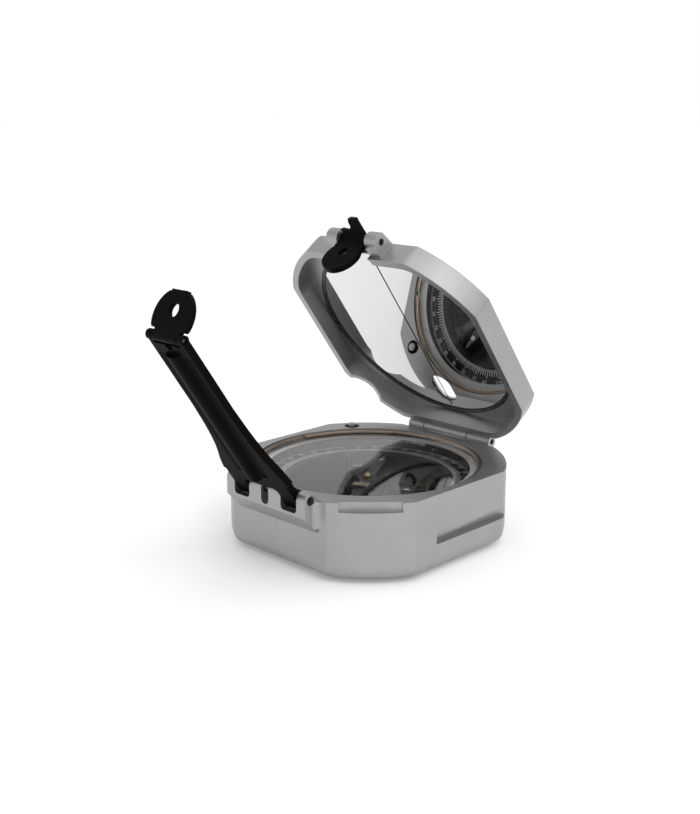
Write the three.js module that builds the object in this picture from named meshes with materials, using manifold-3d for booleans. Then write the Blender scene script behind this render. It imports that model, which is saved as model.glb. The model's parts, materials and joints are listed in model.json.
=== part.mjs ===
// Sighting compass: an eight-sided aluminium case with a hinged mirror lid, a folding
// long sight arm, a small folding sight on the lid, a graduated circle, a magnetic
// needle with its lifting gear, and a clinometer with two spirit levels.
//
// Millimetres, +Z up. The origin is the centre of the bottom plate's underside.
// +Y runs from the sight arm's hinge to the lid's hinge, +X is to the right.
// The parts are built in the pose in which the instrument stands open.

import * as THREE from "three";
import Module from "manifold-3d";

const wasm = await Module();
wasm.setup();

// ---------------------------------------------------------------- dimensions

// Case
const HALF = 35.5; // half the case's width across its flat faces
const CORNER_R = 40.1; // the corners are arcs of this radius about the centre
const CORNER_CUT = HALF - Math.sqrt(CORNER_R ** 2 - HALF ** 2); // leg of each cut corner
const CASE_TOP = 22.6; // height of the rim
const CASE_BOTTOM = 0.6; // the case's underside; the bottom plate stands below it
const FLOOR_LOW = 1.9; // underside of the case floor, above the plate
const FLOOR_TOP = 3.9;
const EDGE_ROUND = 0.9; // how far the rounding of an upright edge reaches
const FOOT_ROUND = 4.0; // rounding of the lower outer edge
const BOWL_R = 29.5; // bowl below the graduated circle
const BOWL_UPPER_R = 31.0;
const CIRCLE_LEDGE = 15.5; // ledge under the graduated circle
const GLASS_SEAT = 19.7;
const GLASS_LOW = 20.3;
const GLASS_TOP = 21.15;
const GLASS_BORE_R = 33.2;
const SEAL_IN = 29.7; // the flat seal reaches in over the graduated circle
const GAP = 0.3; // running gap between neighbouring pieces

// Bottom plate
const PLATE_TOP = 1.6;
const LEVER_OPENING = 15.0;
const PLATE_SCREWS = [
  [21, 21],
  [-21, 21],
  [-21, -21],
  [21, -21],
];

// Clamp grooves in the two side faces
const GROOVE_LEDGE = 8.5;
const GROOVE_START = 12.7; // height at which the groove's slope leaves the face
const GROOVE_DEPTH = 1.9;
const GROOVE_END = -10.3; // closed end; the other end runs out over the corner

// Finger notch in the rim of the front right corner face
const NOTCH_FROM = 3.4; // along the corner face
const NOTCH_TO = 20.3;
const NOTCH_DEEP = 2.5;
const NOTCH_IN = 2.0;

// Sight arm hinge on the front face
const ARM_Y = -37.9;
const ARM_Z = 22.8;
const ARM_KNUCKLE_R = 2.2;
const BLOCK_HALF = 15.7;
const BLOCK_FOOT = 13.3; // height where the block's underside meets the case
const BLOCK_LIP = 18.2; // height of its front edge
const PRONG_IN = 6.6; // inner side of each prong of the arm
const PRONG_OUT = 12.2;
const BLOCK_NOTCH_FLOOR = 19.0;
const BLOCK_NOTCH_BACK = -34.3; // inner wall of the two notches for the arm's prongs
const BLOCK_SLOT_HALF = 1.5;
const ARM_ANGLE = 56; // degrees above horizontal, leaning out
const ARM_THICK = 2.1;
const ARM_HEEL = 2.7; // how far the prongs reach past the hinge
const ARM_TIP = 56.0; // distance from the arm's hinge to the peep sight's hinge
const TIP_KNUCKLE_R = 1.35;
const TIP_GAP_HALF = 5.3; // half the width of the gap in the arm's tip

// Peep sight at the tip of the arm
const PEEP_FOLD = 59; // degrees inward from the line of the arm
const PEEP_THICK = 1.5;
const PEEP_R = 7.4; // the plate's round outline
const PEEP_AT = 4.9; // its centre, from the pin

// Lid
const LID_Y = 37.5; // lid hinge axis
const LID_Z = 23.3;
const LID_RIM = -0.1; // the lid's rim plane above its hinge axis, lid closed
const LID_ANGLE = 53.4; // degrees open
const LID_NEAR = 2.2; // hinge axis to the lid's hinge side
const LID_DEEP = 7.2; // rim plane to the lid's back
const LID_FLOOR = 5.5; // rim plane to the floor of the tray
const LID_MID = LID_NEAR + HALF; // hinge axis to the lid's centre
const LID_KNUCKLE_R = 1.7;
const LID_KNUCKLES = { left: [-16.2, -10.1], lid: [-9.8, 7.2], right: [7.5, 16.2] };
const TRAY_HALF = 33.3;
const TRAY_CORNER_R = 38.1;
const MIRROR_R = 32.0;
const MIRROR_FACE = 5.6;
const MIRROR_BACK = 6.2;
const MIRROR_POCKET = 6.5;
const WINDOW_AT = 14.1; // hinge axis to the sighting window's centre
const WINDOW_HALF_WIDE = 3.7;
const WINDOW_HALF_LONG = 5.6;

// Small sight at the tip of the lid
const SMALL_AT = 76.3; // lid hinge axis to the small sight's hinge
const SMALL_DOWN = 3.9; // rim plane to the small sight's hinge
const SMALL_KNUCKLE_R = 1.6;
const SMALL_DISC_R = 5.7;
const SMALL_DISC_AT = 7.2; // hinge to the disc's centre
const BOSS_HALF = 9.4;
const BOSS_GAP_HALF = 5.3;

// Needle, circle and clinometer
const NEEDLE_ANGLE = 120.6; // degrees from +X
const NEEDLE_REACH = 22.4;
const NEEDLE_Z = 15.9;
const RING_IN = 23.2;
const RING_OUT = 30.6;
const LIFT_X = -28.7;
const LIFT_Y = 22.4;
const LIFT_R = 1.3;
const SCREW_Z = 13.2; // declination screw, in the left front corner face
const SCREW_BEARING = 225; // degrees from +X
const SCREW_FACE = CORNER_R - 0.5; // the slotted head stands behind this
const FULCRUM_R = 24; // lift lever's pin, from the centre
const LEVER_Z = 12.3;
const LIFT_RADIUS = Math.hypot(LIFT_X, LIFT_Y);
const LIFT_BEARING = (Math.atan2(LIFT_Y, LIFT_X) * 180) / Math.PI;
const ROUND_LEVEL_Y = 17;
const LONG_LEVEL_Y = -11;
const LONG_LEVEL_Z = 8.4;

const MANY = 56; // sides of the large circles
const SOME = 24;
const FEW = 14;

// ---------------------------------------------------------------- shape helpers

function solid(geometry) {
  const bare = geometry.index ? geometry.toNonIndexed() : geometry.clone();
  bare.deleteAttribute("normal");
  bare.deleteAttribute("uv");
  const place = bare.getAttribute("position");
  const seen = new Map();
  const vertices = [];
  const triangles = [];
  for (let i = 0; i < place.count; i += 1) {
    const p = [place.getX(i), place.getY(i), place.getZ(i)];
    const key = p.map((n) => Math.round(n * 1e4)).join(",");
    if (!seen.has(key)) {
      seen.set(key, vertices.length / 3);
      vertices.push(...p);
    }
    triangles.push(seen.get(key));
  }
  const kept = [];
  for (let i = 0; i < triangles.length; i += 3) {
    const [a, b, c] = triangles.slice(i, i + 3);
    if (a !== b && b !== c && c !== a) {
      kept.push(a, b, c);
    }
  }
  return new wasm.Manifold(
    new wasm.Mesh({
      numProp: 3,
      vertProperties: new Float32Array(vertices),
      triVerts: new Uint32Array(kept),
    }),
  );
}

function geometryOf(manifold) {
  const mesh = manifold.getMesh();
  const geometry = new THREE.BufferGeometry();
  const vertices = new THREE.BufferAttribute(new Float32Array(mesh.vertProperties), 3);
  geometry.setAttribute("position", vertices);
  geometry.setIndex(new THREE.BufferAttribute(new Uint32Array(mesh.triVerts), 1));
  return geometry;
}

function box(x0, x1, y0, y1, z0, z1) {
  const geometry = new THREE.BoxGeometry(x1 - x0, y1 - y0, z1 - z0);
  geometry.translate((x0 + x1) / 2, (y0 + y1) / 2, (z0 + z1) / 2);
  return solid(geometry);
}

// Prism of a closed outline in XY, from z0 to z1.
function prism(points, z0, z1) {
  const shape = new THREE.Shape(points.map(([x, y]) => new THREE.Vector2(x, y)));
  const geometry = new THREE.ExtrudeGeometry(shape, { depth: z1 - z0, bevelEnabled: false });
  geometry.translate(0, 0, z0);
  return solid(geometry);
}

// Prism of a closed outline in YZ, from x0 to x1.
function prismX(points, x0, x1) {
  const shape = new THREE.Shape(points.map(([y, z]) => new THREE.Vector2(y, z)));
  const geometry = new THREE.ExtrudeGeometry(shape, { depth: x1 - x0, bevelEnabled: false });
  // (u, v, depth) -> (x = depth, y = u, z = v)
  const turn = new THREE.Matrix4().makeBasis(
    new THREE.Vector3(0, 1, 0),
    new THREE.Vector3(0, 0, 1),
    new THREE.Vector3(1, 0, 0),
  );
  geometry.applyMatrix4(turn);
  geometry.translate(x0, 0, 0);
  return solid(geometry);
}

// Upright cylinder.
function post(radius, z0, z1, x = 0, y = 0, sides = SOME) {
  const geometry = new THREE.CylinderGeometry(radius, radius, z1 - z0, sides);
  geometry.rotateX(Math.PI / 2);
  geometry.translate(x, y, (z0 + z1) / 2);
  return solid(geometry);
}

// Cylinder along X.
function rod(radius, x0, x1, y, z, sides = SOME) {
  const geometry = new THREE.CylinderGeometry(radius, radius, x1 - x0, sides);
  geometry.rotateZ(Math.PI / 2);
  geometry.translate((x0 + x1) / 2, y, z);
  return solid(geometry);
}

// Cylinder along Y.
function rodY(radius, y0, y1, x, z, sides) {
  const geometry = new THREE.CylinderGeometry(radius, radius, y1 - y0, sides);
  geometry.translate(x, (y0 + y1) / 2, z);
  return solid(geometry);
}

// Body of revolution about Z from [radius, z] pairs.
function turned(profile, sides = MANY) {
  const points = profile.map(([r, z]) => new THREE.Vector2(r, z));
  const geometry = new THREE.LatheGeometry(points, sides);
  geometry.rotateX(Math.PI / 2);
  return solid(geometry);
}

// Flat ring about Z with a square section.
function ring(rIn, rOut, z0, z1, sides = MANY) {
  return turned([[rIn, z0], [rOut, z0], [rOut, z1], [rIn, z1], [rIn, z0]], sides);
}

function moved(manifold, matrix) {
  const geometry = geometryOf(manifold);
  geometry.applyMatrix4(matrix);
  return solid(geometry);
}

function turnedX(manifold, degrees) {
  return moved(manifold, new THREE.Matrix4().makeRotationX(THREE.MathUtils.degToRad(degrees)));
}

function turnedZ(manifold, degrees) {
  return moved(manifold, new THREE.Matrix4().makeRotationZ(THREE.MathUtils.degToRad(degrees)));
}

function shifted(manifold, x, y, z) {
  return moved(manifold, new THREE.Matrix4().makeTranslation(x, y, z));
}

function all(pieces) {
  return pieces.reduce((sum, piece) => sum.add(piece));
}

// Points of an arc from one angle to another, in degrees.
function arc(x, y, radius, from, to, steps) {
  const points = [];
  for (let i = 0; i <= steps; i += 1) {
    const a = THREE.MathUtils.degToRad(from + ((to - from) * i) / Math.max(steps, 1));
    points.push([x + radius * Math.cos(a), y + radius * Math.sin(a)]);
  }
  return points;
}

// Square outline whose corners are arcs about its centre. Where an arc meets a side, a
// curve that starts and ends the distance round from that edge takes the edge off.
function roundedSquare(half, radius, round, steps) {
  const start = Math.acos(half / radius);
  const turn = round / radius;
  const quarter = [];
  const edge = new THREE.Vector2(half, radius * Math.sin(start));
  const along = (angle) => new THREE.Vector2(radius * Math.cos(angle), radius * Math.sin(angle));
  const below = new THREE.Vector2(half, edge.y - round);
  if (round > 0) {
    const curve = new THREE.QuadraticBezierCurve(below, edge, along(start + turn));
    quarter.push(...curve.getPoints(3));
  } else {
    quarter.push(edge);
  }
  for (let i = 1; i < steps; i += 1) {
    const from = start + turn;
    const to = Math.PI / 2 - start - turn;
    quarter.push(along(from + ((to - from) * i) / steps));
  }
  const mirrored = quarter.slice(0, round > 0 ? 4 : 1).map((p) => new THREE.Vector2(p.y, p.x));
  quarter.push(...mirrored.reverse());
  const points = [];
  for (let i = 0; i < 4; i += 1) {
    for (const p of quarter) {
      const q = p.clone().rotateAround(new THREE.Vector2(), (i * Math.PI) / 2);
      points.push([q.x, q.y]);
    }
  }
  return points;
}

// Eight-sided outline with cut corners, each of its eight edges rounded.
function octagon(half, cut, round, steps) {
  const turnBack = round * Math.tan(Math.PI / 8);
  const corners = [];
  for (let quarter = 0; quarter < 4; quarter += 1) {
    for (const [x, y, start] of [
      [half, -(half - cut), -45],
      [half, half - cut, 0],
    ]) {
      const a = (quarter * Math.PI) / 2;
      corners.push([
        x * Math.cos(a) - y * Math.sin(a),
        x * Math.sin(a) + y * Math.cos(a),
        start + quarter * 90,
      ]);
    }
  }
  const points = [];
  for (const [x, y, start] of corners) {
    const out = THREE.MathUtils.degToRad(start + 22.5);
    const back = Math.hypot(round, turnBack);
    const cx = x - back * Math.cos(out);
    const cy = y - back * Math.sin(out);
    points.push(...arc(cx, cy, round, start, start + 45, steps));
  }
  return points;
}

// ---------------------------------------------------------------- the parts list

const compass = new THREE.Group();
compass.name = "sighting_compass";

const LOOKS = {
  satin: { color: 0xb9babb, roughness: 0.42, metalness: 0.9 },
  base: { color: 0x8f9092, roughness: 0.5, metalness: 0.85 },
  black: { color: 0x17181a, roughness: 0.5, metalness: 0.3 },
  copper: { color: 0xb06a3c, roughness: 0.35, metalness: 0.95 },
  brass: { color: 0xb98d42, roughness: 0.35, metalness: 0.95 },
  steel: { color: 0xc9cacc, roughness: 0.25, metalness: 1.0 },
  rubber: { color: 0x141414, roughness: 0.8, metalness: 0.0 },
  glass: { color: 0xdfe8ea, roughness: 0.05, metalness: 0.0, transparent: true, opacity: 0.25 },
  mirror: { color: 0xeef1f2, roughness: 0.03, metalness: 1.0 },
  vial: { color: 0xc7d95a, roughness: 0.08, metalness: 0.0, transparent: true, opacity: 0.6 },
  dial: { color: 0x1b1c1e, roughness: 0.6, metalness: 0.1 },
};

function piece(name, look, manifold) {
  const mesh = new THREE.Mesh(geometryOf(manifold), new THREE.MeshStandardMaterial(LOOKS[look]));
  mesh.name = name;
  compass.add(mesh);
}

// ---------------------------------------------------------------- case

const caseOutline = roundedSquare(HALF, CORNER_R, EDGE_ROUND, 8);
const sharpOutline = roundedSquare(HALF, CORNER_R, 0, 8);

function caseShell() {
  // A bevel on a sharp-edged extrusion rounds the foot; the prism rounds the upright edges.
  const shape = new THREE.Shape(sharpOutline.map(([x, y]) => new THREE.Vector2(x, y)));
  const geometry = new THREE.ExtrudeGeometry(shape, {
    depth: CASE_TOP,
    bevelEnabled: true,
    bevelThickness: FOOT_ROUND,
    bevelSize: FOOT_ROUND,
    bevelOffset: -FOOT_ROUND,
    bevelSegments: 4,
  });
  geometry.translate(0, 0, CASE_BOTTOM + FOOT_ROUND);
  return solid(geometry).intersect(prism(caseOutline, CASE_BOTTOM - 1, CASE_TOP));
}

function armHingeBlock() {
  const front = ARM_Y - ARM_KNUCKLE_R;
  const profile = [
    [-HALF + 2, BLOCK_FOOT],
    [-HALF, BLOCK_FOOT],
    [front, BLOCK_LIP],
    ...arc(ARM_Y, ARM_Z, ARM_KNUCKLE_R, 180, 0, 10),
    [-HALF + 0.2, CASE_TOP - 0.3],
    [-HALF + 2, CASE_TOP - 0.3],
  ];
  const block = prismX(profile, -BLOCK_HALF, BLOCK_HALF);
  // hollow fillets at both ends, so that the block is wider where it leaves the case
  const fillet = 2.2;
  const right = arc(BLOCK_HALF + fillet, -HALF - fillet, fillet, 180, 90, 5);
  const left = right.map(([x, y]) => [-x, y]).reverse();
  const foot = prism(
    [[BLOCK_HALF + fillet, -HALF + 1], [-BLOCK_HALF - fillet, -HALF + 1], ...left, ...right],
    BLOCK_FOOT + 1.5,
    CASE_TOP - 0.3,
  );
  // the fillets follow the slope of the block's underside
  const slope = new THREE.Vector2(-HALF - front, BLOCK_LIP - BLOCK_FOOT);
  const below = prismX(
    [
      [-HALF + 2, BLOCK_FOOT - 4],
      [-HALF + 2, BLOCK_FOOT - (2 * slope.y) / slope.x],
      [front, BLOCK_LIP],
      [front - 4, BLOCK_LIP],
      [front - 4, BLOCK_FOOT - 4],
    ],
    -HALF,
    HALF,
  );
  return block.add(foot.subtract(below));
}

// Slot open at the front and the top, its two bottom corners rounded.
function blockSlot(x0, x1, back, floor, round) {
  const front = ARM_Y - ARM_KNUCKLE_R - 2;
  const top = ARM_Z + ARM_KNUCKLE_R + 2;
  return all([
    box(x0, x1, front, back, floor + round, top),
    box(x0 + round, x1 - round, front, back, floor, top),
    rodY(round, front, back, x0 + round, floor + round, FEW),
    rodY(round, front, back, x1 - round, floor + round, FEW),
  ]);
}

function armHingeCuts() {
  const near = PRONG_IN - GAP;
  const far = PRONG_OUT + GAP;
  const half = BLOCK_SLOT_HALF;
  return all([
    rod(1.3, -BLOCK_HALF - 2, BLOCK_HALF + 2, ARM_Y, ARM_Z, FEW),
    blockSlot(near, far, BLOCK_NOTCH_BACK, BLOCK_NOTCH_FLOOR, 1.1),
    blockSlot(-far, -near, BLOCK_NOTCH_BACK, BLOCK_NOTCH_FLOOR, 1.1),
    blockSlot(-half, half, -HALF - 0.6, BLOCK_NOTCH_FLOOR - 0.2, half - 0.1),
  ]);
}

function lidHingeLeaf([x0, x1]) {
  const leaf = prismX(
    [
      [HALF - 1, 18.0],
      [HALF, 18.0],
      [LID_Y + 1.4, LID_Z - 1.0],
      [LID_Y, LID_Z],
      [HALF, CASE_TOP],
      [HALF - 1, CASE_TOP],
    ],
    x0,
    x1,
  );
  return leaf.add(rod(LID_KNUCKLE_R, x0, x1, LID_Y, LID_Z, 18));
}

function sideGroove(side) {
  // The slope enters the face and ends on a level ledge.
  const tool = prism(
    [
      [HALF + 2, GROOVE_LEDGE],
      [HALF + 2, GROOVE_START + (2 * (GROOVE_START - GROOVE_LEDGE)) / GROOVE_DEPTH],
      [HALF - GROOVE_DEPTH, GROOVE_LEDGE],
    ],
    GROOVE_END,
    HALF,
  );
  // outline drawn in XZ: stand it up so that the extrusion runs along Y
  const stand = new THREE.Matrix4().makeBasis(
    new THREE.Vector3(side, 0, 0),
    new THREE.Vector3(0, 0, 1),
    new THREE.Vector3(0, 1, 0),
  );
  const geometry = geometryOf(tool);
  geometry.applyMatrix4(stand);
  if (stand.determinant() < 0) {
    const index = geometry.getIndex();
    for (let i = 0; i < index.count; i += 3) {
      const a = index.getX(i);
      index.setX(i, index.getX(i + 1));
      index.setX(i + 1, a);
    }
  }
  return solid(geometry);
}

function fingerNotch() {
  // Drawn along the corner face, then turned onto it.
  const length = CORNER_CUT * Math.SQRT2;
  const from = -length / 2 + NOTCH_FROM;
  const to = -length / 2 + NOTCH_TO;
  const inner = CORNER_R - NOTCH_IN;
  const tool = box(inner, CORNER_R + 2, from, to, CASE_TOP - NOTCH_DEEP, CASE_TOP + 2);
  return turnedZ(tool, -45);
}

// Turns a piece drawn along +X onto the bearing of the lift pin.
function alongLift(manifold) {
  return turnedZ(manifold, LIFT_BEARING);
}

function caseCavity() {
  const bowl = turned([
    [0, FLOOR_TOP],
    [BOWL_R, FLOOR_TOP],
    [BOWL_R, CIRCLE_LEDGE],
    [BOWL_UPPER_R, CIRCLE_LEDGE],
    [BOWL_UPPER_R, GLASS_SEAT],
    [GLASS_BORE_R, GLASS_SEAT],
    [GLASS_BORE_R, CASE_TOP + 2],
    [0, CASE_TOP + 2],
  ]);
  const platePocket = prism(octagon(HALF - 5.2, CORNER_CUT - 3.0, 1.2, 2), -1, FLOOR_LOW);
  const shaftHole = post(2.8, 0, FLOOR_TOP + 1, 0, 0, SOME);
  const liftBore = post(LIFT_R + GAP, 10, CASE_TOP + 2, LIFT_X, LIFT_Y, FEW);
  const collarSeat = post(2.4, 21.7, CASE_TOP + 2, LIFT_X, LIFT_Y, SOME);
  const leverSlot = alongLift(box(BOWL_R - 3, LIFT_RADIUS + 1.8, -1.9, 1.9, 9.5, 14.9));
  const screwBore = turnedZ(rod(2.4, BOWL_R - 3, SCREW_FACE + 2, 0, SCREW_Z, FEW), SCREW_BEARING);
  const screwSeat = turnedZ(
    rod(3.3, SCREW_FACE - 2.0, SCREW_FACE + 2, 0, SCREW_Z, FEW),
    SCREW_BEARING,
  );
  const indexBore = turnedZ(rod(0.8, BOWL_UPPER_R - 1, BOWL_UPPER_R + 2, 0, 18.4, FEW), 90);
  const cuts = [
    bowl,
    platePocket,
    shaftHole,
    liftBore,
    collarSeat,
    leverSlot,
    screwBore,
    screwSeat,
    indexBore,
  ];
  for (const [x, y] of PLATE_SCREWS) {
    cuts.push(post(1.1, 0, 3.4, x, y, FEW));
  }
  return all(cuts);
}

const caseBody = caseShell()
  .add(armHingeBlock())
  .add(lidHingeLeaf(LID_KNUCKLES.left))
  .add(lidHingeLeaf(LID_KNUCKLES.right))
  .subtract(armHingeCuts())
  .subtract(rod(0.9, -20, 20, LID_Y, LID_Z, FEW))
  .subtract(sideGroove(1))
  .subtract(sideGroove(-1))
  .subtract(fingerNotch())
  .subtract(caseCavity());
piece("case_body", "satin", caseBody);

// ---------------------------------------------------------------- bottom plate

function bottomPlate() {
  let plate = prism(octagon(HALF - 5.5, CORNER_CUT - 3.1, 1.2, 2), 0, PLATE_TOP);
  plate = plate.subtract(post(LEVER_OPENING, -1, PLATE_TOP + 1, 0, 0, 40));
  for (const [x, y] of PLATE_SCREWS) {
    plate = plate.subtract(post(1.1, -1, 3, x, y, FEW));
    plate = plate.subtract(post(2.1, -1, 0.95, x, y, FEW));
  }
  return plate;
}
piece("bottom_plate", "base", bottomPlate());

function plateScrew(x, y) {
  const head = post(1.8, 0.15, 0.65, x, y, FEW);
  const shank = post(0.8, 0.6, 3.0, x, y, 10);
  const slot = box(x - 2, x + 2, y - 0.25, y + 0.25, 0, 0.35);
  return head.add(shank).subtract(slot);
}
PLATE_SCREWS.forEach(([x, y], i) => {
  piece(`bottom_plate_screw_${i + 1}`, "steel", plateScrew(x, y));
});

// ---------------------------------------------------------------- hinge pins of the case

piece("arm_hinge_pin", "steel", rod(1.0, -BLOCK_HALF + 2, BLOCK_HALF - 2, ARM_Y, ARM_Z, FEW));
piece("lid_hinge_pin", "steel", rod(0.6, -15.0, 15.0, LID_Y, LID_Z, 12));

// ---------------------------------------------------------------- crystal

piece("crystal_seal", "rubber", ring(SEAL_IN, 32.9, GLASS_SEAT + 0.15, GLASS_LOW - 0.2));
piece("crystal_glass", "glass", post(32.8, GLASS_LOW, GLASS_TOP, 0, 0, MANY));

function snapRing() {
  // Split spring ring over the crystal; the split is at the left.
  const low = GLASS_TOP + 0.25;
  const high = low + 0.75;
  const hoop = turned([
    [31.9, low],
    [32.9, low],
    [32.9, high],
    [32.2, high],
    [31.9, high - 0.35],
    [31.9, low],
  ]);
  const split = turnedZ(box(30, 35, -0.6, 0.6, low - 1, high + 1), 172);
  return hoop.subtract(split);
}
piece("crystal_snap_ring", "copper", snapRing());

// ---------------------------------------------------------------- graduated circle

function graduatedCircle() {
  return turned([
    [RING_IN, 15.9],
    [RING_OUT, 15.9],
    [RING_OUT, 16.8],
    [RING_OUT - 0.3, 17.1],
    [RING_IN + 0.3, 17.1],
    [RING_IN, 16.8],
    [RING_IN, 15.9],
  ]);
}
piece("graduated_circle", "dial", graduatedCircle());
piece("index_pin", "brass", turnedZ(rod(0.5, 28.6, 32.6, 0, 18.4, 10), 90));

function declinationScrew() {
  const head = rod(2.9, SCREW_FACE - 1.7, SCREW_FACE - 0.2, 0, 0, FEW);
  const shank = rod(2.05, 28.9, SCREW_FACE - 1.6, 0, 0, FEW);
  const slot = box(SCREW_FACE - 0.9, SCREW_FACE + 1, -3.5, 3.5, -0.35, 0.35);
  // eight-tooth pinion under the graduated circle
  const teeth = 8;
  const outer = 2.1;
  const root = 1.4;
  const outline = [];
  for (let i = 0; i < teeth; i += 1) {
    for (const [radius, step] of [
      [outer, -0.12],
      [outer, 0.12],
      [root, 0.34],
      [root, 0.66],
    ]) {
      const a = ((i + step) * 2 * Math.PI) / teeth;
      outline.push([radius * Math.cos(a), radius * Math.sin(a)]);
    }
  }
  const pinion = prismX(outline, 26.2, 29.0);
  const screw = head.add(shank).add(pinion).subtract(slot);
  return turnedZ(shifted(screw, 0, 0, SCREW_Z), SCREW_BEARING);
}
piece("declination_screw", "brass", declinationScrew());

// ---------------------------------------------------------------- needle

function needleBlade() {
  const half = 1.7;
  const point = 0.25;
  const outline = [
    [-NEEDLE_REACH, -point],
    [-NEEDLE_REACH + 4, -half * 0.75],
    [0, -half],
    [NEEDLE_REACH - 4, -half * 0.75],
    [NEEDLE_REACH, -point],
    [NEEDLE_REACH, point],
    [NEEDLE_REACH - 4, half * 0.75],
    [0, half],
    [-NEEDLE_REACH + 4, half * 0.75],
    [-NEEDLE_REACH, point],
  ];
  const hub = post(2.6, NEEDLE_Z, NEEDLE_Z + 0.5, 0, 0, SOME);
  const bore = post(1.6, NEEDLE_Z - 1, NEEDLE_Z + 2, 0, 0, FEW);
  const blade = prism(outline, NEEDLE_Z, NEEDLE_Z + 0.5).add(hub).subtract(bore);
  return turnedZ(blade, NEEDLE_ANGLE);
}
piece("compass_needle", "steel", needleBlade());

// Jewelled cap, open below, over the pivot's point.
piece(
  "needle_cap",
  "brass",
  turned(
    [
      [0, 16.4],
      [0.6, 15.0],
      [1.3, 15.0],
      [1.3, 17.3],
      [0.5, 18.0],
      [0, 18.0],
    ],
    SOME,
  ),
);

function counterweight() {
  // Wire wound round the needle's south arm.
  const coil = box(-9.5, -7.0, -2.5, 2.5, NEEDLE_Z - 0.8, NEEDLE_Z + 1.3);
  const bore = box(-11, -6, -1.9, 1.9, NEEDLE_Z - 0.3, NEEDLE_Z + 0.8);
  return turnedZ(coil.subtract(bore), NEEDLE_ANGLE);
}
piece("needle_counterweight", "copper", counterweight());

// ---------------------------------------------------------------- clinometer

piece(
  "clinometer_shaft",
  "brass",
  turned(
    [
      [0, 1.65],
      [2.5, 1.65],
      [2.5, 6.2],
      [1.9, 6.2],
      [1.9, 7.2],
      [0.9, 7.2],
      [0.9, 14.0],
      [0.12, 16.0],
      [0, 16.0],
    ],
    18,
  ),
);

function clinometerPlate() {
  const outline = [
    ...arc(0, 0, 6.5, 205, -25, 10).reverse(),
    ...[
      [-5.2, -4.2],
      [-4.2, -15],
      [-7.5, -20.5],
      [-6.2, -23.2],
      [0, -24.0],
      [6.2, -23.2],
      [7.5, -20.5],
      [4.2, -15],
      [5.2, -4.2],
    ],
  ];
  return prism(outline, 4.9, 5.7).subtract(post(2.8, 4, 7, 0, 0, 18));
}
piece("clinometer_plate", "steel", clinometerPlate());

function longLevelHolder() {
  const y = LONG_LEVEL_Y;
  const z = LONG_LEVEL_Z;
  const saddle = box(-13.4, 13.4, y - 2.9, y + 2.9, 6.0, z + 0.6);
  const trough = rod(2.45, -11.6, 11.6, y, z, 18);
  const mouth = box(-11.6, 11.6, y - 2.1, y + 2.1, z, z + 3);
  return saddle.subtract(trough).subtract(mouth);
}
piece("long_level_holder", "brass", longLevelHolder());
piece("long_level_vial", "vial", rod(2.1, -11.3, 11.3, LONG_LEVEL_Y, LONG_LEVEL_Z, 18));

function roundLevel() {
  const cup = turned(
    [
      [0, 4.2],
      [6.5, 4.2],
      [6.5, 9.6],
      [6.0, 10.2],
      [4.9, 10.2],
      [4.9, 5.6],
      [0, 5.6],
    ],
    28,
  );
  return shifted(cup, 0, ROUND_LEVEL_Y, 0);
}
piece("round_level_cup", "brass", roundLevel());
piece(
  "round_level_vial",
  "vial",
  shifted(
    turned(
      [
        [0, 5.9],
        [4.6, 5.9],
        [4.6, 9.7],
        [3.0, 10.2],
        [0, 10.4],
      ],
      28,
    ),
    0,
    ROUND_LEVEL_Y,
    0,
  ),
);

function backLever() {
  const bar = box(-2.4, 2.4, -12.5, 12.5, 0.35, 1.35);
  const hub = post(4.2, 0.35, 1.35, 0, 0, SOME);
  const grip = box(-0.4, 0.4, -11.5, 11.5, 0.1, 0.4);
  return bar.add(hub).add(grip);
}
piece("clinometer_lever", "steel", backLever());

// ---------------------------------------------------------------- needle lifting gear

function liftPin() {
  const pin = turned(
    [
      [0, 14.6],
      [LIFT_R, 14.6],
      [LIFT_R, 23.3],
      [LIFT_R - 0.2, 23.5],
      [0, 23.5],
    ],
    18,
  );
  return shifted(pin, LIFT_X, LIFT_Y, 0);
}
piece("lift_pin", "steel", liftPin());
piece("lift_pin_collar", "black", shifted(ring(1.6, 2.1, 22.0, CASE_TOP, SOME), LIFT_X, LIFT_Y, 0));

// Rod across the lift lever at its fulcrum.
function fulcrumRod(radius, half, sides) {
  return turnedZ(rod(radius, -half, half, -FULCRUM_R, LEVER_Z, sides), 90);
}

// The lever runs from an eye round the pivot to a pad under the lift pin.
function liftLever() {
  const low = LEVER_Z - 0.4;
  const high = LEVER_Z + 0.4;
  const beam = box(3.0, LIFT_RADIUS + 1.3, -1.2, 1.2, low, high);
  const pad = box(LIFT_RADIUS - 1.3, LIFT_RADIUS + 1.3, -1.2, 1.2, low, 14.3);
  const eye = post(3.7, low, high, 0, 0, SOME);
  const eyeHole = post(1.9, 10, 14, 0, 0, 18);
  const lever = beam.add(pad).add(eye).add(fulcrumRod(1.4, 1.5, FEW));
  return alongLift(lever.subtract(eyeHole).subtract(fulcrumRod(0.8, 3, FEW)));
}
piece("needle_lift_lever", "steel", liftLever());
piece("lift_lever_pin", "steel", alongLift(fulcrumRod(0.5, 3.3, 10)));

// Bracket that stands on the case floor and carries the lever's pin.
function liftBracket() {
  const near = FULCRUM_R - 1.7;
  const far = FULCRUM_R + 1.7;
  const block = box(near, far, -3.2, 3.2, FLOOR_TOP + 0.2, LEVER_Z + 1.4);
  const way = box(near - 1, far + 1, -1.8, 1.8, 8.5, LEVER_Z + 2);
  return alongLift(block.subtract(way).subtract(fulcrumRod(0.8, 5, FEW)));
}
piece("lift_lever_bracket", "brass", liftBracket());

// ---------------------------------------------------------------- lid

// Drawn closed: y = -(distance from the hinge axis), z = height above the rim plane.
function openLid(manifold) {
  const raised = shifted(manifold, 0, 0, LID_RIM);
  return shifted(turnedX(raised, -LID_ANGLE), 0, LID_Y, LID_Z);
}

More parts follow.
